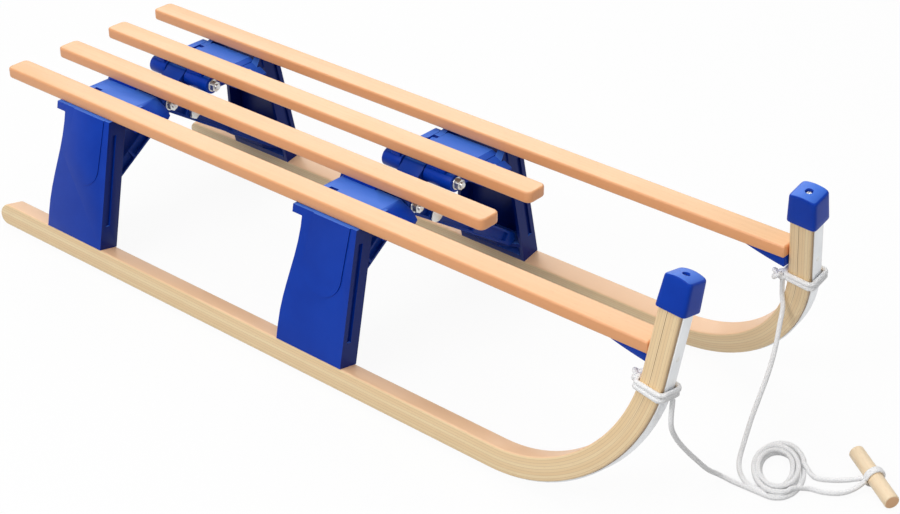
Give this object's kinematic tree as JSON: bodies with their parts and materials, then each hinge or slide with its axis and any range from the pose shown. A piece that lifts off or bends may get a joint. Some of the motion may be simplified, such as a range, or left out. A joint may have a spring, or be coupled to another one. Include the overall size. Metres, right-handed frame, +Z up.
{
  "type": "folding wooden sled",
  "caption": "Folding wooden sled: slatted seat on leaning runner frames with curved horns, crossed hinged braces and a tow rope",
  "frame": {"origin": "on the ground, at the middle of the sled's length and width, without the tow rope", "axes": "+X forward to the horns, +Y to the left across the sled, +Z up from the ground"},
  "size_m": [1.2653, 0.383, 0.302],
  "materials": {
    "slat_wood": "clear varnished beech slats",
    "runner_wood": "clear varnished laminated beech",
    "steel_band": "plain steel band",
    "blue_plastic": "moulded blue plastic, semi-gloss",
    "brace_plastic": "moulded dark blue plastic",
    "zinc_hardware": "bright zinc plated",
    "rope": "white braided rope",
    "handle_wood": "plain turned dowel"
  },
  "bodies": {
    "near_frame": {"near_runner": "runner_wood", "near_steel_band": "steel_band", "near_cap": "blue_plastic", "near_cap_screw": "zinc_hardware", "near_outer_slat": "slat_wood", "near_slat_bracket": "blue_plastic", "near_rear_leg": "blue_plastic", "near_front_leg": "blue_plastic", "near_rear_pin": "zinc_hardware", "near_front_pin": "zinc_hardware", "near_rope_wrap": "rope", "near_rope_strand": "rope", "far_rope_strand": "rope", "rope_coil": "rope", "handle_rope_upper": "rope", "handle_rope_lower": "rope", "handle_rope_ring": "rope", "rope_handle": "handle_wood"},
    "near_arms": {"near_inner_slat": "slat_wood", "near_rear_arm": "blue_plastic", "near_front_arm": "blue_plastic", "near_rear_bolt": "zinc_hardware", "near_front_bolt": "zinc_hardware"},
    "braces_to_far": {"rear_brace_to_far": "brace_plastic", "front_brace_to_far": "brace_plastic", "rear_centre_bolt": "zinc_hardware", "front_centre_bolt": "zinc_hardware"},
    "braces_to_near": {"rear_brace_to_near": "brace_plastic", "front_brace_to_near": "brace_plastic"},
    "far_arms": {"far_inner_slat": "slat_wood", "far_rear_arm": "blue_plastic", "far_front_arm": "blue_plastic", "far_rear_bolt": "zinc_hardware", "far_front_bolt": "zinc_hardware"},
    "far_frame": {"far_runner": "runner_wood", "far_steel_band": "steel_band", "far_cap": "blue_plastic", "far_cap_screw": "zinc_hardware", "far_outer_slat": "slat_wood", "far_slat_bracket": "blue_plastic", "far_rear_leg": "blue_plastic", "far_front_leg": "blue_plastic", "far_rear_pin": "zinc_hardware", "far_front_pin": "zinc_hardware", "far_rope_wrap": "rope"}
  },
  "joints": [
    {"name": "near_arms_fold", "type": "hinge", "parent": "near_frame", "child": "near_arms", "pos_m": [0, -0.096, 0.189], "axis": [1, 0, 0], "range_deg": [0, 76]},
    {"name": "braces_to_far_fold", "type": "hinge", "parent": "near_arms", "child": "braces_to_far", "pos_m": [0, -0.038, 0.189], "axis": [1, 0, 0], "range_deg": [-95, 0]},
    {"name": "braces_to_near_fold", "type": "hinge", "parent": "braces_to_far", "child": "braces_to_near", "pos_m": [0, 0, 0.163], "axis": [1, 0, 0], "range_deg": [0, 38]},
    {"name": "far_arms_fold", "type": "hinge", "parent": "braces_to_near", "child": "far_arms", "pos_m": [0, 0.038, 0.189], "axis": [1, 0, 0], "range_deg": [-95, 0]},
    {"name": "far_frame_fold", "type": "hinge", "parent": "far_arms", "child": "far_frame", "pos_m": [0, 0.096, 0.189], "axis": [1, 0, 0], "range_deg": [0, 76], "deforming": ["far_rope_strand"]}
  ],
  "couplings": [
    {"joint": "braces_to_far_fold", "follows": "near_arms_fold", "ratio": -1.25},
    {"joint": "braces_to_near_fold", "follows": "near_arms_fold", "ratio": 0.5},
    {"joint": "far_arms_fold", "follows": "near_arms_fold", "ratio": -1.25},
    {"joint": "far_frame_fold", "follows": "near_arms_fold", "ratio": 1}
  ]
}
